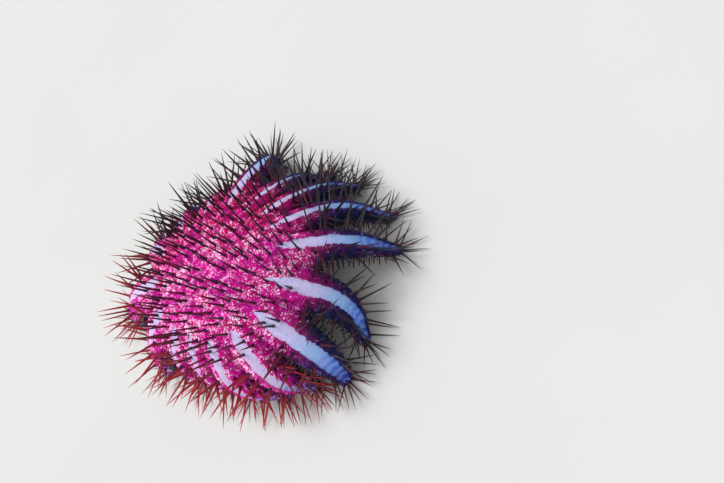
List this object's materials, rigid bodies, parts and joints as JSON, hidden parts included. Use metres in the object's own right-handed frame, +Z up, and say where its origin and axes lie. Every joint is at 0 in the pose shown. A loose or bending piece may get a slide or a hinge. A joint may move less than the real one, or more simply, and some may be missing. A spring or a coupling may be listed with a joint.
{
  "type": "crown of thorns starfish",
  "caption": "Life-size crown of thorns starfish: a round disc and many arms covered in long spines, arched as if clasping a rounded coral head.",
  "frame": {"origin": "on the floor, under the middle of the whole animal with its spines", "axes": "+Z up, out of the back of the disc; every arm's tip rests on the floor at Z = 0; the side nearest the viewer of the picture faces -Y"},
  "size_m": [0.2734, 0.3136, 0.1178],
  "materials": {
    "disc_skin": "granular magenta skin, slightly wet, with dark red spines",
    "arm_skin": "pale lavender band between magenta flanks, blue at the tips, with dark red spines",
    "mouth_skin": "soft pale membrane"
  },
  "bodies": {
    "root": {"disc": "disc_skin", "mouth": "mouth_skin", "arm_01": "arm_skin", "arm_02": "arm_skin", "arm_03": "arm_skin", "arm_04": "arm_skin", "arm_05": "arm_skin", "arm_06": "arm_skin", "arm_07": "arm_skin", "arm_08": "arm_skin", "arm_09": "arm_skin", "arm_10": "arm_skin", "arm_11": "arm_skin", "arm_12": "arm_skin", "arm_13": "arm_skin", "arm_14": "arm_skin", "arm_15": "arm_skin", "arm_16": "arm_skin"}
  },
  "joints": []
}
